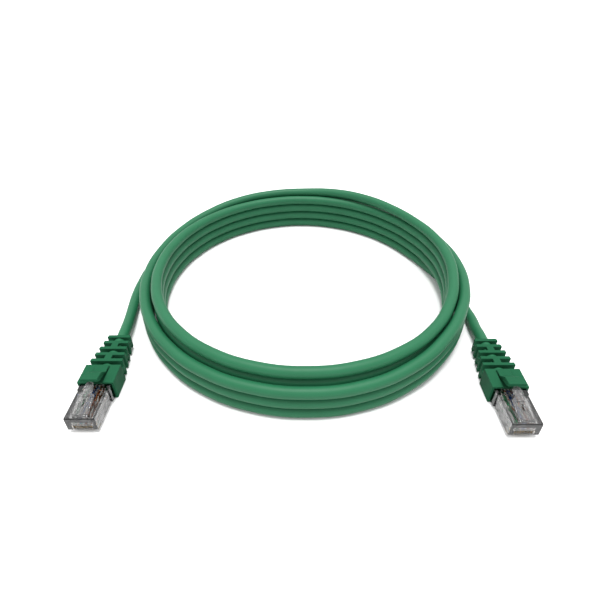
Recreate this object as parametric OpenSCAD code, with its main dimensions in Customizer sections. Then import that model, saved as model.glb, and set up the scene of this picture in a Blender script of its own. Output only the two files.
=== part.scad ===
// Ethernet patch cable: a round coil of four-pair cable with a modular plug,
// a sprung latch and a moulded boot on each end.
// +Z is up, -Y is the way both plugs point, and the cable rests on Z = 0.

/* [Cable] */
// Outer diameter of the round jacket
cable_d = 5.2; // [4.3:0.1:5.8]
// Clearance between the jacket and the bore of each boot, on the diameter
bore_clear = 0.1; // [0.1:0.05:0.4]

/* [Coil] */
// Centreline radius of the inner column of turns
coil_r = 78.6; // [70:0.5:95]
// Air between one turn and the turn on top of it
turn_clear = 0.05; // [0.05:0.05:0.5]
// Air between the inner and the outer column of turns
column_clear = 0.5; // [0.45:0.05:1]

/* [Plug] */
// Width of the plug body
plug_w = 11.68; // [11:0.02:14.1]
// Length of the plug body
plug_len = 21.5; // [18:0.1:26]
// Height of the plug body
plug_h = 6.6; // [6:0.1:8]
// How far the plug stands out of its boot
plug_reach = 17.4; // [15:0.1:20]
// Extra width of the rear block of the plug, both sides together
shoulder_extra = 1; // [0.3:0.05:1.2]
// Length of the rear block that shows ahead of the boot
shoulder_show = 3; // [0:0.1:4]

/* [Contacts and conductors] */
// Spacing of the eight contacts
contact_pitch = 1.016; // [0.95:0.001:1.05]
// Thickness of one contact blade
blade_t = 0.35; // [0.25:0.01:0.4]
// Length of one contact blade
blade_len = 3.4; // [2.5:0.1:4]
// Diameter of one insulated conductor
wire_d = 0.92; // [0.7:0.01:0.92]

/* [Latch] */
// Length of the latch lever from its hinge
latch_len = 14.2; // [12:0.1:15]
// Width of the latch lever ahead of its locking shoulders
latch_w = 6; // [5:0.05:6.6]
// Width of the tail of the latch lever
latch_tail_w = 3.25; // [2.5:0.05:3.8]
// Angle at which the free latch stands off the plug, in degrees
latch_angle = 13.5; // [12.5:0.5:14]

/* [Boot] */
// Thickness of the side walls of the collar
collar_wall = 0.95; // [0.7:0.05:1.5]
// Length of the collar round the plug
collar_len = 10.2; // [9.6:0.1:12]
// Thickness of the collar below the plug
collar_floor = 0.85; // [0.8:0.05:1.4]
// Thickness of the collar above the plug
collar_roof = 1; // [0.8:0.05:1.4]
// Number of ribs on the strain relief
rib_count = 5; // [3:1:6]
// Spacing of the ribs
rib_pitch = 4; // [3.6:0.1:4.4]
// Width of the slot between two ribs
rib_slot = 2.3; // [1.4:0.1:2.4]
// Width of the slot between the collar and the first rib
rib_first_slot = 2.5; // [1.4:0.1:3.2]
// Width of the strain relief at the cable end
relief_end_w = 9.9; // [8.4:0.1:12]
// Height of the strain relief at the cable end
relief_end_h = 6.4; // [6.2:0.1:7.4]
// Height of the latch hood above the collar
hood_rise = 5.5; // [5.3:0.1:6.4]
// Width of the latch hood at its front lip
hood_w = 7; // [6.4:0.1:7.6]

/* [Hidden] */
$fn = 48;
eps = 0.01;

// Boot, measured from its cable end towards the nose of the plug
relief_len = rib_first_slot + rib_count * rib_pitch - rib_slot;
boot_len = relief_len + collar_len;
nose_y = -(boot_len + plug_reach);
plug_rear_y = nose_y + plug_len;
collar_front_y = -boot_len;
collar_rear_y = -relief_len;

// Heights above the surface that the cable lies on
shoulder_drop = 0.5;
shoulder_z = collar_floor + 0.05;
plug_z = shoulder_z + shoulder_drop;
plug_top = plug_z + plug_h;
collar_top = plug_top + collar_roof;
axis_z = collar_top / 2;
wire_z = axis_z;

// Plug body
shoulder_w = plug_w + shoulder_extra;
collar_fit = 0.05;
collar_w = shoulder_w + 2 * (collar_fit + collar_wall);
nose_chamfer = 0.4;
nose_wall = 1.8;
cavity_w = 9.2;
cavity_h = cable_d + 0.2;
cavity_len = 6.5;
chamber_w = 8.6;
chamber_h = 2.4;
chamber_len = 5.5;
ribbon_w = 7 * contact_pitch + wire_d + 0.1;
ribbon_h = wire_d + 0.06;
blade_clear = 0.08;
blade_top = wire_z - wire_d / 2;
blade_recess = 0.25;

// Latch
hinge_back = 1.4;
hinge_r = 0.55;
hinge_clear = 0.07;
hinge_y = nose_y + hinge_back;
lever_gap = 0.05;
lever_t = 0.9;
lock_at = 8.6;
lock_len = 1.2;
lock_h = 0.5;
window_w = 1.1;
window_len = 2.9;
window_at = 3.7;

// Boot details
bore_d = cable_d + bore_clear;
relief_inset = 0.15;
relief_root_w = collar_w - 2 * relief_inset;
relief_root_h = collar_top - 0.4;
side_web_h = 2.6;
top_web_w = 3;
channel_w = 6.2;
channel_rear = 1;
channel_floor_t = 0.35;
tongue_t = 1.1;
tongue_w = 5.4;
tongue_rise = 0.6;
hood_lip_t = 1.5;
skirt_t = 1;
skirt_drop = 2.2;
ROOT_Y = collar_rear_y - 0.3;
STEP_Y = collar_rear_y - 1.6;
FOOT_Y = collar_rear_y - 4.6;
CREASE_Y = collar_rear_y - 8.5;
LIP_Y = collar_rear_y - 13.6;
foot_z = collar_top + tongue_rise;
crease_z = collar_top + 0.75 * hood_rise;
lip_z = collar_top + hood_rise;

// Conductors
jacket_end_y = plug_rear_y - 0.7;
fan_y = nose_y + 15.5;
wire_front_y = nose_y + nose_wall + 0.2;
bundle_pitch = (wire_d + 0.02) / 2;
bundle_rise = 0.74 * wire_d;
WIRE_COLOURS = [
    "palegreen", "green", "navajowhite", "royalblue",
    "lightsteelblue", "darkorange", "tan", "saddlebrown"
];

// Coil, wound clockwise seen from above, from the left plug to the right one
coil_centre = [2, 4];
cable_r = cable_d / 2;
column_step = cable_d + column_clear;
turn_pitch = cable_d + turn_clear;
coil_sides = 6;
tail_sides = 8;
wire_sides = 8;
coil_floor_z = cable_r * cos(180 / coil_sides);
tail_floor_z = cable_r * cos(180 / tail_sides);
ring_step = 15;
first_az = 165;
last_az = -15;
full_laps = 7;
ring_count = (full_laps * 360 + first_az - last_az) / ring_step + 1;
rim_r = coil_r + column_step;

// Where the cable leaves each boot, seen from above
left_exit = [coil_centre[0] - rim_r - 1.2, -40.7];
right_exit = [coil_centre[0] + rim_r - 2.8, -43.1];

function reversed(p) = [for (i = [len(p) - 1 : -1 : 0]) p[i]];

// Smooth step from 0 to 1 while the azimuth falls from one angle to another
function smooth(x) = let(t = min(max(x, 0), 1)) t * t * (3 - 2 * t);
function ramp(az, from, to) = smooth((from - az) / (from - to));

// Smooth hill that is 1 at an azimuth and falls to 0 a reach away on either side
function hill(az, centre, reach) =
    let(turned = (az - centre + 540) % 360 - 180)
    smooth(1 - abs(turned) / reach);

// Radius of each column. Both draw in on the right, where turns change places, and on the left
right_draw = 5.35;
inner_left_draw = 3.3;
outer_left_draw = 2.2;
function right_inward(az) = right_draw * (ramp(az, 96, 20) - ramp(az, 17, -92));
function inner_r(az) = coil_r - right_inward(az) - inner_left_draw * hill(az, 179, 78);
function outer_r(az) = rim_r - right_inward(az) - outer_left_draw * hill(az, -160, 56);

// How far a turn of the outer column has climbed since the left side, up to the azimuth at
// which it is at its highest
function outer_climb(az, top_az) =
    1.45 * ramp(az, 178, 105) + 0.55 * ramp(az, 105, top_az) - ramp(az, -20, -75);

// Radius and level of the centreline on a lap at an azimuth; level 1 is on the floor.
// The first lap starts one column outside the rim.
function lap_r(lap, az) =
    lap == 0 ? outer_r(min(az, 110)) + column_step * (1 - ramp(az, 140, 95)) :
    lap < 3 ? outer_r(az) :
    lap == 3 ? outer_r(az) + (inner_r(az) - outer_r(az)) * ramp(az, 115, 37) :
    lap < 7 ? inner_r(az) :
    inner_r(max(az, 27)) + 15 * ramp(az, 27, -35);
function lap_level(lap, az) =
    lap == 0 ? 1 + ramp(az, 60, 12) - ramp(az, -20, -75) :
    lap == 1 ? 1 + outer_climb(az, 20) :
    lap == 2 ? 2 + outer_climb(az, 70) :
    lap == 3 ? 3 + 1.55 * ramp(az, 178, 103) + 0.6 * ramp(az, 103, 62)
        - 0.15 * ramp(az, 55, 20) - ramp(az, 12, -45) :
    lap < 7 ? 8 - lap - ramp(az, 12, -45) :
    1;

// Centre of ring number i of the coil, whose two ends lie level with the tails
function ring_centre(i) =
    let(
        total = first_az - ring_step * i,
        lap = floor((180 - total) / 360),
        az = total + 360 * lap,
        r = lap_r(lap, az),
        is_end = i == 0 || i == ring_count - 1
    )
    [
        coil_centre[0] + r * cos(az),
        coil_centre[1] + r * sin(az),
        is_end ? tail_floor_z : coil_floor_z + (lap_level(lap, az) - 1) * turn_pitch
    ];

// Each end of the coil runs straight and level for one diameter
function unit(v) = v / norm(v);
function level_unit(v) = unit([v[0], v[1], 0]);
CURVED = [for (i = [0 : ring_count - 1]) ring_centre(i)];
coil_start_dir = level_unit(CURVED[0] - CURVED[1]);
coil_end_dir = level_unit(CURVED[ring_count - 1] - CURVED[ring_count - 2]);
coil_start = CURVED[0] + coil_start_dir * cable_d;
coil_end = CURVED[ring_count - 1] + coil_end_dir * cable_d;
COIL_PATH = concat([coil_start], CURVED, [coil_end]);

// Route of each tail outside its boot: how far it stands off the line of the boot
// in X, its place in Y, and its height as a share of the way up to the boot's bore
LEFT_POINTS = [[-0.2, -35, 1], [-1.1, -26, 0.6], [-2.8, -14, 0.2], [-4.2, -3, 0], [-4.4, 9, 0]];
RIGHT_POINTS = [[0.3, -31, 0.4], [0, -38, 1]];
function placed(p, exit) =
    [exit[0] + p[0], p[1], tail_floor_z + p[2] * (axis_z - tail_floor_z)];
function in_boot(exit) = [
    [exit[0], exit[1], axis_z],
    [exit[0], exit[1] + jacket_end_y / 2, axis_z],
    [exit[0], exit[1] + jacket_end_y, axis_z]
];
LEFT_ROUTE = concat(
    reversed(in_boot(left_exit)),
    [for (p = LEFT_POINTS) placed(p, left_exit)],
    [coil_start]
);
RIGHT_ROUTE = concat(
    [coil_end],
    [for (p = RIGHT_POINTS) placed(p, right_exit)],
    in_boot(right_exit)
);

// Curve through a list of points, with a few steps between each two
function at(p, i) = p[min(max(i, 0), len(p) - 1)];
function hermite(p0, p1, m0, m1, t) =
    (2 * t * t * t - 3 * t * t + 1) * p0 + (t * t * t - 2 * t * t + t) * m0
    + (3 * t * t - 2 * t * t * t) * p1 + (t * t * t - t * t) * m1;
function slope(p, i) = (at(p, i + 1) - at(p, i - 1)) / norm(at(p, i + 1) - at(p, i - 1));
function curve(p, steps) = concat(
    [
        for (i = [0 : len(p) - 2])
            let(span = norm(p[i + 1] - p[i]))
            for (s = [0 : steps - 1])
                hermite(p[i], p[i + 1], slope(p, i) * span, slope(p, i + 1) * span, s / steps)
    ],
    [p[len(p) - 1]]
);

// Points of one ring: a polygon square to the path, with a flat side down
function ring(centre, dir, radius, sides) =
    let(side = unit(cross(dir, [0, 0, 1])), up = cross(side, dir))
    [
        for (k = [0 : sides - 1])
            let(a = 360 / sides * (sides == coil_sides ? k : k + 0.5))
            centre + radius * (cos(a) * side + sin(a) * up)
    ];
function path_dir(p, i, first, last) =
    i == 0 ? first : i == len(p) - 1 ? last : unit(at(p, i + 1) - at(p, i - 1));
function rings(p, radius, sides, first, last) =
    [for (i = [0 : len(p) - 1]) ring(p[i], path_dir(p, i, first, last), radius, sides)];

// One unbroken tube through rings of points, closed at both ends
module tube(r) {
    n = len(r[0]);
    m = len(r);
    polyhedron(
        points = [for (q = r) for (p = q) p],
        faces = concat(
            [for (k = [1 : n - 2]) [0, k, k + 1]],
            [for (i = [0 : m - 2]) for (k = [0 : n - 1])
                [i * n + k, (i + 1) * n + k, (i + 1) * n + (k + 1) % n]],
            [for (i = [0 : m - 2]) for (k = [0 : n - 1])
                [i * n + k, (i + 1) * n + (k + 1) % n, i * n + (k + 1) % n]],
            [for (k = [1 : n - 2]) [(m - 1) * n, (m - 1) * n + k + 1, (m - 1) * n + k]]
        )
    );
}

// Least gap between turns, measured on ring corners and the middles of ring sides
COIL_RINGS = rings(COIL_PATH, cable_r, coil_sides, -coil_start_dir, coil_end_dir);
function ring_points(q) = [
    for (k = [0 : len(q) - 1])
        for (p = [q[k], (q[k] + q[(k + 1) % len(q)]) / 2])
            p
];
function pair_gap(a, b) = min([for (p = a) for (q = b) norm(p - q)]);
function coil_gap() =
    let(lap = 360 / ring_step, q = [for (r = COIL_RINGS) ring_points(r)])
    min([
        for (i = [0 : len(q) - 1])
            for (j = [i + lap - 1 : len(q) - 1])
                if (norm(COIL_PATH[i] - COIL_PATH[j]) < 2 * cable_d)
                    pair_gap(q[i], q[j])
    ]);
function path_length(p, i = 1) = i >= len(p) ? 0 : norm(p[i] - p[i - 1]) + path_length(p, i + 1);

module cord_coil() {
    echo(coil_least_gap_mm = coil_gap());
    echo(coil_length_mm = path_length(COIL_PATH));
    color("seagreen") tube(COIL_RINGS);
}

module cord_tail_left() {
    path = curve(LEFT_ROUTE, 2);
    color("seagreen") tube(rings(path, cable_r, tail_sides, [0, 1, 0], -coil_start_dir));
}

module cord_tail_right() {
    path = curve(RIGHT_ROUTE, 2);
    color("seagreen") tube(rings(path, cable_r, tail_sides, coil_end_dir, [0, -1, 0]));
}

// A box given by its width, its two Y limits and its two Z limits, centred on X
module block(w, y0, y1, z0, z1) {
    translate([-w / 2, y0, z0])
        cube([w, y1 - y0, z1 - z0]);
}

// Clear body of the plug, hollow for the cable, the conductors and the contacts
module plug_housing() {
    top_edge = plug_top - nose_chamfer;
    front_edge = nose_y + nose_chamfer;
    difference() {
        union() {
            rotate([90, 0, 90])
                translate([0, 0, -plug_w / 2])
                    linear_extrude(plug_w)
                        polygon([
                            [nose_y, plug_z + nose_chamfer], [front_edge, plug_z],
                            [plug_rear_y, plug_z], [plug_rear_y, plug_top],
                            [front_edge, plug_top], [nose_y, top_edge]
                        ]);
            block(shoulder_w, collar_front_y - shoulder_show, plug_rear_y, shoulder_z, plug_top);
        }
        block(cavity_w, plug_rear_y - cavity_len, plug_rear_y + eps,
            axis_z - cavity_h / 2, axis_z + cavity_h / 2);
        block(chamber_w, plug_rear_y - cavity_len - chamber_len, plug_rear_y - cavity_len + eps,
            wire_z - chamber_h / 2, wire_z + chamber_h / 2);
        block(ribbon_w, nose_y + nose_wall, plug_rear_y - cavity_len - chamber_len + eps,
            wire_z - ribbon_h / 2, wire_z + ribbon_h / 2);
        for (i = [0 : 7])
            translate([contact_x(i), 0, 0])
                block(blade_t + 2 * blade_clear, nose_y - eps, blade_rear_y(),
                    plug_z - eps, blade_top + blade_clear);
        translate([-latch_w / 2 - hinge_clear, hinge_y, plug_top])
            rotate([0, 90, 0])
                cylinder(r = hinge_r + hinge_clear, h = latch_w + 2 * hinge_clear);
    }
}

function contact_x(i) = (i - 3.5) * contact_pitch;
function blade_rear_y() = nose_y + nose_chamfer + blade_len;

// Eight gold-plated blades, each with a rounded lower front corner
module contact_blades() {
    corner = 0.6;
    z0 = plug_z + blade_recess;
    y0 = nose_y + nose_chamfer;
    for (i = [0 : 7])
        translate([contact_x(i) - blade_t / 2, 0, 0])
            rotate([90, 0, 90])
                linear_extrude(blade_t)
                    union() {
                        translate([y0 + corner, z0])
                            square([blade_len - corner, blade_top - z0]);
                        translate([y0, z0 + corner])
                            square([blade_len, blade_top - z0 - corner]);
                        translate([y0 + corner, z0 + corner])
                            circle(r = corner);
                    }
}

// Sprung lever that locks the plug in its socket, hinged at the nose
module latch_lever() {
    translate([0, hinge_y, plug_top])
        rotate([latch_angle, 0, 0])
            difference() {
                union() {
                    translate([-latch_w / 2, 0, 0])
                        rotate([0, 90, 0])
                            cylinder(r = hinge_r, h = latch_w);
                    block(latch_w, 0, lock_at, lever_gap, lever_gap + lever_t);
                    block(latch_w, lock_at - lock_len, lock_at,
                        lever_gap, lever_gap + lever_t + lock_h);
                    block(latch_tail_w, lock_at - eps, latch_len - latch_tail_w / 2,
                        lever_gap, lever_gap + lever_t);
                    translate([0, latch_len - latch_tail_w / 2, lever_gap])
                        cylinder(d = latch_tail_w, h = lever_t);
                }
                translate([0, 0, lever_gap - eps])
                    linear_extrude(lever_t + lock_h + 2 * eps)
                        union() {
                            translate([-window_w / 2, window_at + window_w / 2])
                                square([window_w, window_len - window_w]);
                            translate([0, window_at + window_w / 2])
                                circle(d = window_w);
                            translate([0, window_at + window_len - window_w / 2])
                                circle(d = window_w);
                        }
            }
}

// One conductor: straight in the plug, then drawn together at the end of the jacket
module wire(i) {
    x = contact_x(i);
    rise = i % 2 == 0 ? bundle_rise : -bundle_rise;
    route = [
        [x, wire_front_y, wire_z],
        [x, fan_y - 2 * wire_d, wire_z],
        [x, fan_y, wire_z],
        [(i - 3.5) * bundle_pitch, jacket_end_y, axis_z + rise]
    ];
    color(WIRE_COLOURS[i])
        tube(rings(curve(route, 3), wire_d / 2, wire_sides, [0, 1, 0], [0, 1, 0]));
}

// Plan of the hood: narrow at its tongue, wide at its lip
module hood_plan(inset) {
    tongue = tongue_w / 2 - inset;
    lip = hood_w / 2 - inset;
    polygon([
        [-tongue, ROOT_Y], [-tongue, FOOT_Y], [-lip, LIP_Y],
        [lip, LIP_Y], [tongue, FOOT_Y], [tongue, ROOT_Y]
    ]);
}

module side_extrude(w) {
    translate([-w / 2, 0, 0])
        rotate([90, 0, 90])
            linear_extrude(w)
                children();
}

module plan_extrude() {
    translate([0, 0, plug_top])
        linear_extrude(lip_z - plug_top + 1)
            children();
}

// Springy hood over the tail of the latch, with a skirt down each side
module hood() {
    under_lip = lip_z - hood_lip_t;
    intersection() {
        union() {
            side_extrude(hood_w)
                polygon([
                    [ROOT_Y, collar_top], [STEP_Y, foot_z], [FOOT_Y, foot_z],
                    [CREASE_Y, crease_z], [LIP_Y, lip_z], [LIP_Y, under_lip],
                    [LIP_Y + 1, under_lip], [LIP_Y + 1.5, lip_z - tongue_t - 0.4],
                    [CREASE_Y - 0.2, crease_z - tongue_t], [FOOT_Y - 0.3, foot_z - tongue_t],
                    [ROOT_Y, foot_z - tongue_t]
                ]);
            difference() {
                side_extrude(hood_w)
                    polygon([
                        [FOOT_Y, foot_z - 0.2], [CREASE_Y, crease_z - 0.2], [LIP_Y, lip_z - 0.2],
                        [LIP_Y, under_lip], [LIP_Y + 1.6, lip_z - 0.4 - skirt_drop],
                        [CREASE_Y, crease_z - skirt_drop - 0.3], [FOOT_Y, foot_z - tongue_t]
                    ]);
                plan_extrude() hood_plan(skirt_t);
            }
        }
        plan_extrude() hood_plan(0);
    }
}

// Tapered strain relief with slots that alternate between its top and its sides
module relief() {
    difference() {
        intersection() {
            translate([0, 0, -1])
                linear_extrude(collar_top + 2)
                    polygon([
                        [-relief_root_w / 2, collar_rear_y - eps], [relief_root_w / 2, collar_rear_y - eps],
                        [relief_end_w / 2, 0], [-relief_end_w / 2, 0]
                    ]);
            side_extrude(relief_root_w)
                polygon([
                    [collar_rear_y - eps, axis_z - relief_root_h / 2], [0, axis_z - relief_end_h / 2],
                    [0, axis_z + relief_end_h / 2], [collar_rear_y - eps, axis_z + relief_root_h / 2]
                ]);
        }
        rib_cut(collar_rear_y - 2 * eps, rib_first_slot + 2 * eps, true);
        for (i = [1 : rib_count - 1])
            rib_cut(collar_rear_y + rib_first_slot + i * rib_pitch - rib_slot, rib_slot, i % 2 == 0);
    }
}

// A slot across the top and the bottom of the relief, or one in each of its sides
module rib_cut(y, slot, across) {
    big = relief_root_w;
    for (s = [-1, 1])
        if (across)
            translate([0, 0, s * (side_web_h + big) / 2])
                block(2 * big, y, y + slot, axis_z - big / 2, axis_z + big / 2);
        else
            translate([s * (top_web_w + big) / 2, 0, 0])
                block(big, y, y + slot, -1, collar_top + 1);
}

// Moulded boot: a collar round the rear of the plug, a latch hood and a ribbed relief
module boot() {
    color("seagreen")
        difference() {
            union() {
                relief();
                difference() {
                    block(collar_w, collar_front_y, collar_rear_y, 0, collar_top);
                    block(channel_w, collar_front_y - eps, collar_rear_y - channel_rear,
                        plug_top + channel_floor_t, collar_top + eps);
                }
                hood();
            }
            block(shoulder_w + 2 * collar_fit, collar_front_y - eps, plug_rear_y,
                shoulder_z - collar_fit, plug_top);
            translate([0, plug_rear_y - eps, axis_z])
                rotate([-90, 0, 0])
                    cylinder(d = bore_d, h = -plug_rear_y + 2 * eps);
        }
}

module at_left() {
    translate([left_exit[0], left_exit[1], 0])
        children();
}

module at_right() {
    translate([right_exit[0], right_exit[1], 0])
        children();
}

at_left() color("gainsboro", 0.5) plug_housing();  // plug_housing_left
at_left() color("gainsboro") latch_lever();  // latch_lever_left
at_left() color("gold") contact_blades();  // contact_blades_left
at_left() boot();  // boot_left
at_left() wire(0);  // wire_1_white_green_left
at_left() wire(1);  // wire_2_green_left
at_left() wire(2);  // wire_3_white_orange_left
at_left() wire(3);  // wire_4_blue_left
at_left() wire(4);  // wire_5_white_blue_left
at_left() wire(5);  // wire_6_orange_left
at_left() wire(6);  // wire_7_white_brown_left
at_left() wire(7);  // wire_8_brown_left
at_right() color("gainsboro", 0.5) plug_housing();  // plug_housing_right
at_right() color("gainsboro") latch_lever();  // latch_lever_right
at_right() color("gold") contact_blades();  // contact_blades_right
at_right() boot();  // boot_right
at_right() wire(0);  // wire_1_white_green_right
at_right() wire(1);  // wire_2_green_right
at_right() wire(2);  // wire_3_white_orange_right
at_right() wire(3);  // wire_4_blue_right
at_right() wire(4);  // wire_5_white_blue_right
at_right() wire(5);  // wire_6_orange_right
at_right() wire(6);  // wire_7_white_brown_right
at_right() wire(7);  // wire_8_brown_right
cord_tail_left();
cord_coil();
cord_tail_right();
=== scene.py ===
import math

import bmesh
import bpy
from mathutils import Matrix, Vector
from mathutils.geometry import intersect_point_line


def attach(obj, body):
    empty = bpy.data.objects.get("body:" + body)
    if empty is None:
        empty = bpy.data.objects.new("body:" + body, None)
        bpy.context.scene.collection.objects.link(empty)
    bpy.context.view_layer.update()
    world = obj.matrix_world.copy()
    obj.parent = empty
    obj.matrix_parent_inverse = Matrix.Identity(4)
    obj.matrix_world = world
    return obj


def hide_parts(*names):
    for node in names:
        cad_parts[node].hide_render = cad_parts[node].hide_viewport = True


# Looks of an ethernet patch cable: one round cord wound in a coil, and on each end a moulded
# boot, a clear plug, its latch, eight contact blades and eight insulated conductors.
# Everything is in metres. +Z is up, and both plugs point along -Y.

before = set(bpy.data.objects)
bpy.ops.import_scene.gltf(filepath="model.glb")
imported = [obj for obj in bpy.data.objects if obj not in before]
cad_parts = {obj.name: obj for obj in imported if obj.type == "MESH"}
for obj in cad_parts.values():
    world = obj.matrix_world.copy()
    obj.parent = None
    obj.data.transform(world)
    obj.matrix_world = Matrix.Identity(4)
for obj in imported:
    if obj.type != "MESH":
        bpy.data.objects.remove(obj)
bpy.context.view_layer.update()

MM = 0.001
SIDES = ("left", "right")

# ---------------------------------------------------------------- sizes shared with the CAD source

CORD_D = 5.2 * MM
CORD_R = CORD_D / 2
CORD_LENGTH = 3.893
AXIS_Z = 4.5 * MM
WIRE_D = 0.92 * MM
CONTACT_PITCH = 1.016 * MM
BUNDLE_PITCH = 0.47 * MM
BUNDLE_RISE = 0.74 * WIRE_D
# Places in Y on an end of the cable, from the end of its boot where the cable comes out
JACKET_END_Y = -27.0 * MM
NOSE_Y = -47.8 * MM
FAN_Y = NOSE_Y + 15.5 * MM
WIRE_FRONT_Y = NOSE_Y + 2 * MM


def add_object(name, data):
    """A new object in the scene, at the origin."""
    made = bpy.data.objects.new(name, data)
    bpy.context.scene.collection.objects.link(made)
    return made


def add_mesh(name, shape, material):
    """A new object from a bmesh, which is used up."""
    mesh = bpy.data.meshes.new(name)
    shape.to_mesh(mesh)
    shape.free()
    mesh.materials.append(material)
    return add_object(name, mesh)


# ---------------------------------------------------------------- camera

CAMERA_TARGET = Vector((-0.76, -3.9, 0)) * MM
CAMERA_DISTANCE = 239.81 * MM
CAMERA_ELEVATION = math.radians(36.93)
CAMERA_SENSOR = 36
CAMERA_NEAR = 1 * MM
FOCAL_PIXELS = 448.2
IMAGE_SIDE = 600
SHIFT_PIXELS = 0.25


def add_camera():
    """The camera looks down at the front of the coil, between the two plugs."""
    lens = bpy.data.cameras.new("camera")
    lens.sensor_width = CAMERA_SENSOR
    lens.lens = CAMERA_SENSOR * FOCAL_PIXELS / IMAGE_SIDE
    lens.shift_y = SHIFT_PIXELS / IMAGE_SIDE
    lens.clip_start = CAMERA_NEAR
    camera = add_object("camera", lens)
    back = Vector((0, -math.cos(CAMERA_ELEVATION), math.sin(CAMERA_ELEVATION)))
    camera.location = CAMERA_TARGET + back * CAMERA_DISTANCE
    camera.rotation_euler = (math.pi / 2 - CAMERA_ELEVATION, 0, 0)
    bpy.context.scene.camera = camera


# ---------------------------------------------------------------- route of the cord

COIL_CENTRE = Vector((2, 4, 0)) * MM
COIL_R = 78.6 * MM
COLUMN_STEP = CORD_D + 0.5 * MM
TURN_PITCH = CORD_D + 0.05 * MM
RIM_R = COIL_R + COLUMN_STEP

# Azimuths are in degrees: 180 is left, 90 is the back, 0 is right and -90 is the front. The cord
# runs from the left over the back to the right, so they fall along it.
RING_STEP = 15
FIRST_AZ = 165
LAST_AZ = -15

# Laps 0 to 2 lie in the outer column, lap 3 crosses over to the inner one, which the next three
# wind down, and the lap after the last full one leads out to the right plug.
CROSSING_LAP = 3
FULL_LAPS = 7

# How far the columns draw in, and the azimuths where each move starts and ends
RIGHT_DRAW = 5.35 * MM
RIGHT_DRAW_IN = (96, 20)
RIGHT_DRAW_OUT = (17, -92)
# The same on the left, as the azimuth of the deepest place and its reach to either side
INNER_LEFT_DRAW = 3.3 * MM
INNER_LEFT_HILL = (179, 78)
OUTER_LEFT_DRAW = 2.2 * MM
OUTER_LEFT_HILL = (-160, 56)

# Moves in radius: the first lap joins the outer column, lap 3 crosses over, the last lap leaves
FIRST_LAP_JOIN = (140, 95)
FIRST_LAP_STEADY_AZ = 110
CROSSING = (115, 37)
LEAD_OUT = (27, -35)
LEAD_OUT_REACH = 15 * MM

# Moves in height, where 1 is one turn on top of another
FIRST_LAP_RISE = (60, 12)
FRONT_DROP = (-20, -75)
RIGHT_DROP = (12, -45)
LEFT_CLIMB, LEFT_CLIMB_LEVELS = (178, 105), 1.45
BACK_CLIMB_LEVELS = 0.55
BACK_CLIMB_END = {1: 20, 2: 70}  # by lap
CROSSING_LEFT_CLIMB, CROSSING_LEFT_LEVELS = (178, 103), 1.55
CROSSING_BACK_CLIMB, CROSSING_BACK_LEVELS = (103, 62), 0.6
CROSSING_SETTLE, CROSSING_SETTLE_LEVELS = (55, 20), 0.15

BOOT_EXIT = {
    "left": Vector((COIL_CENTRE.x - RIM_R - 1.2 * MM, -40.7 * MM, 0)),
    "right": Vector((COIL_CENTRE.x + RIM_R - 2.8 * MM, -43.1 * MM, 0)),
}
# Each point: distance off the line of the boot in X, place in Y, share of the height of the bore
LEFT_POINTS = [
    (-0.2 * MM, -35 * MM, 1), (-1.1 * MM, -26 * MM, 0.6), (-2.8 * MM, -14 * MM, 0.2),
    (-4.2 * MM, -3 * MM, 0), (-4.4 * MM, 9 * MM, 0),
]
RIGHT_POINTS = [(0.3 * MM, -31 * MM, 0.4), (0, -38 * MM, 1)]

CORD_SIDES = 28
CORD_STEPS = 5


def smooth(x):
    """Smooth step from 0 to 1."""
    t = min(max(x, 0), 1)
    return t * t * (3 - 2 * t)


def ramp(az, start, end):
    """Smooth step from 0 to 1 while the azimuth falls from start to end."""
    return smooth((start - az) / (start - end))


def hill(az, centre, reach):
    """Smooth hill that is 1 at an azimuth and falls to 0 a reach away on either side."""
    turned = (az - centre + 180) % 360 - 180
    return smooth(1 - abs(turned) / reach)


def right_inward(az):
    """How far both columns draw in on the right, where turns change places."""
    return RIGHT_DRAW * (ramp(az, *RIGHT_DRAW_IN) - ramp(az, *RIGHT_DRAW_OUT))


def inner_r(az):
    return COIL_R - right_inward(az) - INNER_LEFT_DRAW * hill(az, *INNER_LEFT_HILL)


def outer_r(az):
    return RIM_R - right_inward(az) - OUTER_LEFT_DRAW * hill(az, *OUTER_LEFT_HILL)


def outer_climb(az, top_az):
    """How far a turn of the outer column has climbed since the left side, up to its top."""
    left = LEFT_CLIMB_LEVELS * ramp(az, *LEFT_CLIMB)
    back = BACK_CLIMB_LEVELS * ramp(az, LEFT_CLIMB[1], top_az)
    return left + back - ramp(az, *FRONT_DROP)


def lap_r(lap, az):
    """Radius of a lap; the first one starts one column outside the rim."""
    if lap == 0:
        join = 1 - ramp(az, *FIRST_LAP_JOIN)
        return outer_r(min(az, FIRST_LAP_STEADY_AZ)) + COLUMN_STEP * join
    if lap < CROSSING_LAP:
        return outer_r(az)
    if lap == CROSSING_LAP:
        return outer_r(az) + (inner_r(az) - outer_r(az)) * ramp(az, *CROSSING)
    if lap < FULL_LAPS:
        return inner_r(az)
    return inner_r(max(az, LEAD_OUT[0])) + LEAD_OUT_REACH * ramp(az, *LEAD_OUT)


def lap_level(lap, az):
    """Level of the cord on a lap, where level 1 lies on the floor."""
    if lap == 0:
        return 1 + ramp(az, *FIRST_LAP_RISE) - ramp(az, *FRONT_DROP)
    if lap < CROSSING_LAP:
        return lap + outer_climb(az, BACK_CLIMB_END[lap])
    if lap == CROSSING_LAP:
        left = CROSSING_LEFT_LEVELS * ramp(az, *CROSSING_LEFT_CLIMB)
        back = CROSSING_BACK_LEVELS * ramp(az, *CROSSING_BACK_CLIMB)
        settle = CROSSING_SETTLE_LEVELS * ramp(az, *CROSSING_SETTLE)
        return lap + (left + back) - settle - ramp(az, *RIGHT_DROP)
    if lap < FULL_LAPS:
        return FULL_LAPS + 1 - lap - ramp(az, *RIGHT_DROP)
    return 1


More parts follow.
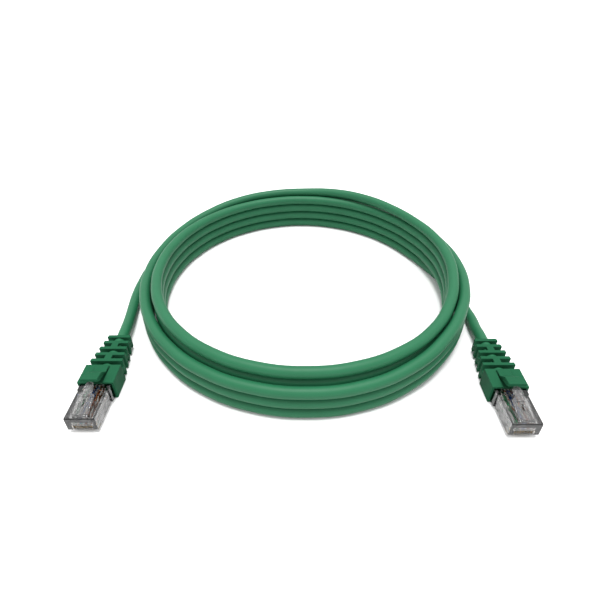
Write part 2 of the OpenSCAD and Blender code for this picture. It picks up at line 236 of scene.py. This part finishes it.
def coil_points():
    """Centreline of the coil, with one cord diameter run straight on at each end."""
    points = []
    steps = (FULL_LAPS * 360 + FIRST_AZ - LAST_AZ) // RING_STEP
    for i in range(steps + 1):
        total = FIRST_AZ - RING_STEP * i
        lap = math.floor((180 - total) / 360)
        az = total + 360 * lap
        r = lap_r(lap, az)
        across = Vector((math.cos(math.radians(az)), math.sin(math.radians(az)), 0))
        up = CORD_R + (lap_level(lap, az) - 1) * TURN_PITCH
        points.append(COIL_CENTRE + across * r + Vector((0, 0, up)))
    start = points[0] - points[1]
    end = points[-1] - points[-2]
    for way in (start, end):
        way.z = 0
    first = points[0] + start.normalized() * CORD_D
    last = points[-1] + end.normalized() * CORD_D
    return [first, *points, last]


def tail_points(points, side):
    """Points of a tail between its boot and the coil."""
    rise = AXIS_Z - CORD_R
    off = BOOT_EXIT[side].x
    return [Vector((off + x, y, CORD_R + share * rise)) for x, y, share in points]


def in_boot(side):
    """The straight stretch inside a boot, from its cable end to the end of the jacket."""
    exit_point = BOOT_EXIT[side] + Vector((0, 0, AXIS_Z))
    return [exit_point + Vector((0, JACKET_END_Y * share, 0)) for share in (0, 0.5, 1)]


def route_curve(name, points, thickness, sides, steps):
    """A round tube on one smooth open spline through the points."""
    curve = bpy.data.curves.new(name, "CURVE")
    curve.dimensions = "3D"
    curve.bevel_depth = thickness / 2
    curve.bevel_resolution = sides // 2 - 2
    curve.use_fill_caps = True
    curve.resolution_u = steps
    spline = curve.splines.new("BEZIER")
    spline.bezier_points.add(len(points) - 1)
    for knot, place in zip(spline.bezier_points, points):
        knot.co = place
        knot.handle_left_type = knot.handle_right_type = "AUTO"
    return add_object(name, curve)


def add_cord(material):
    left = [*reversed(in_boot("left")), *tail_points(LEFT_POINTS, "left")]
    right = [*tail_points(RIGHT_POINTS, "right"), *in_boot("right")]
    route = [*left, *coil_points(), *right]
    cord = route_curve("cord", route, CORD_D, CORD_SIDES, CORD_STEPS)
    cord.data.materials.append(material)
    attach(cord, "root")
    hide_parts("cord_tail_left", "cord_coil", "cord_tail_right")


# ---------------------------------------------------------------- shader maths

# Sockets of a Mix node that are for colours; their names stand for other sockets as well
MIX_FACTOR, MIX_LOW, MIX_HIGH, MIX_RESULT = 0, 6, 7, 2


class Signal:
    """A shader socket that takes part in Python expressions."""

    def __init__(self, tree, socket):
        self.tree = tree
        self.socket = socket

    def math(self, operation, *values):
        inputs = dict(enumerate([self, *values]))
        return self.tree.node("ShaderNodeMath", {"operation": operation}, inputs)

    def __add__(self, other):
        return self.math("ADD", other)

    __radd__ = __add__

    def __sub__(self, other):
        return self.math("SUBTRACT", other)

    def __rsub__(self, other):
        return self.math("MULTIPLY", -1).math("ADD", other)

    def __mul__(self, other):
        return self.math("MULTIPLY", other)

    __rmul__ = __mul__

    def __truediv__(self, other):
        return self.math("DIVIDE", other)


class Tree:
    """The nodes of a material or of the world."""

    def __init__(self, owner):
        owner.use_nodes = True
        self.nodes = owner.node_tree.nodes
        self.links = owner.node_tree.links

    def node(self, kind, settings=None, inputs=None, output=0):
        """One output of a new node, whose settings are made before its sockets are fed."""
        made = self.nodes.new(kind)
        for name, value in (settings or {}).items():
            setattr(made, name, value)
        for name, value in (inputs or {}).items():
            self.feed(made.inputs[name], value)
        return Signal(self, made.outputs[output])

    def feed(self, socket, value):
        if isinstance(value, Signal):
            self.links.new(value.socket, socket)
        else:
            socket.default_value = value

    def component(self, vector, axis):
        return self.node("ShaderNodeSeparateXYZ", {}, {"Vector": vector}, axis)

    def blend(self, factor, low, high):
        """Mix of two colours by a factor from 0 to 1."""
        inputs = {MIX_FACTOR: factor, MIX_LOW: low, MIX_HIGH: high}
        return self.node("ShaderNodeMix", {"data_type": "RGBA"}, inputs, MIX_RESULT)


class Finish(Tree):
    """A material: the constants of its shader, and the nodes that vary it over the surface."""

    def __init__(self, name, **constants):
        self.material = bpy.data.materials.new(name)
        super().__init__(self.material)
        self.shader = self.nodes["Principled BSDF"]
        self.drive(**constants)

    def drive(self, **signals):
        for socket, value in signals.items():
            self.feed(self.shader.inputs[socket.replace("_", " ")], value)

    def coordinates(self, output="Object"):
        return self.node("ShaderNodeTexCoord", output=output)

    def curve_place(self):
        """Place on a cord from 0 to 1, along it and around it."""
        place = self.coordinates("UV")
        return [self.component(place, axis) for axis in "XY"]

    def noise(self, size, detail=3):
        """Soft noise from 0 to 1, with blots about that size across."""
        inputs = {"Vector": self.coordinates(), "Scale": 1 / size, "Detail": detail}
        return self.node("ShaderNodeTexNoise", {}, inputs)

    def mottle(self, size, dark, light, detail=3):
        """A colour that wanders between two tones, in blots about that size across."""
        return self.blend(self.noise(size, detail), dark, light)

    def wander_roughness(self, size, least, swing):
        """Roughness from its least value to a swing above it, in blots about that size."""
        self.drive(Roughness=least + swing * self.noise(size))

    def bump(self, height, depth):
        self.drive(Normal=self.node("ShaderNodeBump", {}, {"Height": height, "Distance": depth}))


def rgb(red, green, blue):
    return (red, green, blue, 1)


# ---------------------------------------------------------------- materials

JACKET_GREENS = rgb(0.0105, 0.097, 0.042), rgb(0.0135, 0.117, 0.052)
PAIRS = 4
PAIR_LAY = 80 * MM

BOOT_GREENS = rgb(0.0122, 0.071, 0.034), rgb(0.0152, 0.0855, 0.042)
PARTING_LINE_W = 0.06 * MM

CLEAR_COLOUR = rgb(0.8, 0.8, 0.8)
POLYCARBONATE_IOR = 1.585
SMOKE = {"Color": rgb(0.05, 0.04, 0.04), "Density": 120}
PLUG_CLARITY = 1.0
LATCH_CLARITY = 0.95

GOLDS = rgb(0.66, 0.47, 0.22), rgb(0.84, 0.64, 0.36)

WIRE_NAMES = [
    "white_green", "green", "white_orange", "blue",
    "white_blue", "orange", "white_brown", "brown",
]
WHITE = rgb(0.86, 0.85, 0.79)
PAIR_COLOURS = {
    "green": rgb(0.02, 0.22, 0.08),
    "orange": rgb(0.46, 0.13, 0.04),
    "blue": rgb(0.02, 0.08, 0.34),
    "brown": rgb(0.17, 0.06, 0.025),
}
DARKEST_SHADE = 0.82
STRIPE_TURNS = 6
STRIPE_SHARE = 0.3


def jacket_finish():
    """Extruded PVC: satin, with faint blotches, a drawn texture and the lay of its pairs."""
    finish = Finish("jacket_pvc", Specular_IOR_Level=0.24)
    finish.drive(Base_Color=finish.mottle(14 * MM, *JACKET_GREENS, detail=4))
    finish.wander_roughness(3 * MM, least=0.46, swing=0.12)
    along, around = finish.curve_place()
    lay = (math.tau * (along * (CORD_LENGTH / PAIR_LAY) + PAIRS * around)).math("SINE")
    drawn = finish.noise(0.6 * MM, detail=4)
    uneven = finish.noise(4 * MM, detail=2)
    finish.bump(drawn + 2 * uneven + 0.5 * lay, depth=0.02 * MM)
    return finish.material


def boot_finish():
    """Moulded PVC: the same green, a little duller, with a fine grain and a parting line."""
    finish = Finish("boot_pvc", Specular_IOR_Level=0.008)
    finish.drive(Base_Color=finish.mottle(6 * MM, *BOOT_GREENS, detail=4))
    finish.wander_roughness(1.5 * MM, least=0.4, swing=0.14)
    height = finish.component(finish.coordinates(), "Z")
    line = 1 - ((height - AXIS_Z).math("ABSOLUTE") / PARTING_LINE_W).math("MINIMUM", 1)
    finish.bump(finish.noise(0.22 * MM) + line, depth=0.02 * MM)
    return finish.material


def clear_finish(name, clarity):
    """Polycarbonate with a little haze, darker the more of it the light goes through."""
    finish = Finish(
        name, Base_Color=CLEAR_COLOUR, IOR=POLYCARBONATE_IOR, Transmission_Weight=clarity,
    )
    inside = finish.node("ShaderNodeVolumeAbsorption", {}, SMOKE)
    finish.feed(finish.nodes["Material Output"].inputs["Volume"], inside)
    finish.wander_roughness(1.2 * MM, least=0.02, swing=0.06)
    finish.bump(finish.noise(2.5 * MM, detail=2), depth=0.05 * MM)
    return finish.material


def gold_finish():
    """Gold plating on stamped contact blades."""
    finish = Finish("contact_gold", Metallic=1.0)
    finish.drive(Base_Color=finish.mottle(0.8 * MM, *GOLDS))
    finish.wander_roughness(0.25 * MM, least=0.16, swing=0.14)
    finish.bump(finish.noise(0.12 * MM), depth=0.004 * MM)
    return finish.material


def insulation_finish(name, base, stripe=None):
    """Polyethylene insulation: one colour, or white with a spiral stripe of its pair's colour."""
    finish = Finish(f"insulation_{name}")
    dark = rgb(*[DARKEST_SHADE * share for share in base[:3]])
    colour = finish.mottle(1.5 * MM, dark, base)
    if stripe:
        along, around = finish.curve_place()
        turn = (around + STRIPE_TURNS * along).math("FRACT")
        colour = finish.blend(turn.math("LESS_THAN", STRIPE_SHARE), colour, stripe)
    finish.drive(Base_Color=colour)
    finish.wander_roughness(0.5 * MM, least=0.3, swing=0.12)
    finish.bump(finish.noise(0.3 * MM), depth=0.008 * MM)
    return finish.material


def insulation_for(name):
    if name.startswith("white_"):
        return insulation_finish(name, WHITE, PAIR_COLOURS[name.split("_")[1]])
    return insulation_finish(name, PAIR_COLOURS[name])


# ---------------------------------------------------------------- moulded pieces

WELD_DISTANCE = 0.0005 * MM
SHARP_ANGLE = math.radians(25)
FLAT_ANGLE = math.radians(2)

# Least room for a rounding, in radii: the edges at its ends, and the gap to other corners
LEAST_EDGE = 2.2
LEAST_GAP = 0.8

# Radius and number of segments of each kind of piece's rounded edges
BOOT_ROUNDING = (0.25 * MM, 3)
HOUSING_ROUNDING = (0.1 * MM, 2)
LATCH_ROUNDING = (0.03 * MM, 2)
BLADE_ROUNDING = (0.05 * MM, 2)


def distance_to_edge(place, edge):
    start, end = (v.co for v in edge.verts)
    share = intersect_point_line(place, start, end)[1]
    nearest = start + (end - start) * min(max(share, 0), 1)
    return (place - nearest).length


def edges_to_round(shape, radius):
    """Sharp edges with room for the radius: no short edge at an end, no other corner close by."""
    least = LEAST_EDGE * radius
    roomy = {v for v in shape.verts if all(e.calc_length() > least for e in v.link_edges)}
    picked = []
    for edge in shape.edges:
        if edge.calc_face_angle(0) < SHARP_ANGLE or not roomy.issuperset(edge.verts):
            continue
        others = (v.co for v in shape.verts if v not in edge.verts)
        if all(distance_to_edge(place, edge) > LEAST_GAP * radius for place in others):
            picked.append(edge)
    return picked


def rounded_copy(node, name, rounding, material, body):
    """A CAD node's own shape as one merged mesh with its sharp edges rounded, in its place."""
    radius, segments = rounding
    shape = bmesh.new()
    shape.from_mesh(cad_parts[node].data)
    bmesh.ops.remove_doubles(shape, verts=shape.verts, dist=WELD_DISTANCE)
    bmesh.ops.dissolve_limit(
        shape, angle_limit=FLAT_ANGLE, use_dissolve_boundaries=False,
        verts=shape.verts, edges=shape.edges, delimit=set(),
    )
    bmesh.ops.bevel(
        shape, geom=edges_to_round(shape, radius), offset=radius, offset_type="OFFSET",
        segments=segments, profile=0.5, affect="EDGES", clamp_overlap=True, material=-1,
        loop_slide=True,
    )
    for face in shape.faces:
        face.smooth = True
    piece = add_mesh(name, shape, material)
    normals = piece.modifiers.new("face_normals", "WEIGHTED_NORMAL")
    normals.keep_sharp = False
    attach(piece, body)
    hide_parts(node)


# ---------------------------------------------------------------- conductors

WIRE_SIDES = 16
WIRE_STEPS = 6


def add_conductors(side, finishes):
    """Eight conductors: side by side under the contacts, drawn together at the jacket's end."""
    off = BOOT_EXIT[side]
    middle = (len(WIRE_NAMES) - 1) / 2
    for i, name in enumerate(WIRE_NAMES):
        x = (i - middle) * CONTACT_PITCH
        rise = BUNDLE_RISE if i % 2 == 0 else -BUNDLE_RISE
        points = [
            off + Vector((x, WIRE_FRONT_Y, AXIS_Z)),
            off + Vector((x, FAN_Y - 2 * WIRE_D, AXIS_Z)),
            off + Vector((x, FAN_Y, AXIS_Z)),
            off + Vector(((i - middle) * BUNDLE_PITCH, JACKET_END_Y, AXIS_Z + rise)),
        ]
        piece = route_curve(f"conductor_{i + 1}_{side}", points, WIRE_D, WIRE_SIDES, WIRE_STEPS)
        piece.data.materials.append(finishes[name])
        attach(piece, "root")
        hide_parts(f"wire_{i + 1}_{name}_{side}")


# ---------------------------------------------------------------- floor and light

FLOOR_GAP = 0.11 * MM
FLOOR_REACH = 10
FLOOR_COLOUR = rgb(0.8, 0.8, 0.8)
HORIZON_LIGHT = 1.2
ZENITH_LIGHT = 1.1
SKYLIGHT_SPREAD = math.radians(30)
SKYLIGHT_STRENGTH = 3.9


def add_floor():
    """A plain matt floor, a hair below the cable."""
    finish = Finish(
        "floor_white", Base_Color=FLOOR_COLOUR, Roughness=0.8, Specular_IOR_Level=0.1,
    )
    shape = bmesh.new()
    bmesh.ops.create_grid(
        shape, x_segments=1, y_segments=1, size=FLOOR_REACH,
        matrix=Matrix.Translation((0, 0, -FLOOR_GAP)),
    )
    add_mesh("floor", shape, finish.material)


def add_light():
    """A wide round skylight overhead, in a pale room that is a little brighter near its floor."""
    lamp = bpy.data.lights.new("skylight", "SUN")
    lamp.angle = SKYLIGHT_SPREAD
    lamp.energy = SKYLIGHT_STRENGTH
    add_object("skylight", lamp)
    world = bpy.data.worlds.new("studio")
    room = Tree(world)
    height = room.component(room.node("ShaderNodeTexCoord"), "Z").math("MAXIMUM", 0)
    background = room.nodes["Background"]
    strength = HORIZON_LIGHT + (ZENITH_LIGHT - HORIZON_LIGHT) * height
    room.feed(background.inputs["Strength"], strength)
    room.feed(background.inputs["Color"], rgb(1, 1, 1))
    bpy.context.scene.world = world


def main():
    add_camera()
    add_cord(jacket_finish())
    boot = boot_finish()
    plug = clear_finish("clear_plug", PLUG_CLARITY)
    latch = clear_finish("clear_latch", LATCH_CLARITY)
    gold = gold_finish()
    insulation = {name: insulation_for(name) for name in WIRE_NAMES}
    for side in SIDES:
        latch_body = f"latch_{side}"
        moulded = [
            ("boot", "moulded_boot", BOOT_ROUNDING, boot, "boot", "root"),
            ("plug_housing", "clear_housing", HOUSING_ROUNDING, plug, "clear_plastic", "root"),
            ("latch_lever", "clear_latch", LATCH_ROUNDING, latch, "clear_plastic", latch_body),
            ("contact_blades", "gold_blades", BLADE_ROUNDING, gold, "contact", "root"),
        ]
        for node, name, rounding, material, slot, body in moulded:
            rounded_copy(f"{node}_{side}", f"{name}_{side}", rounding, material, body)
        add_conductors(side, insulation)
    add_floor()
    add_light()
    bpy.context.scene.view_settings.view_transform = "Standard"


main()
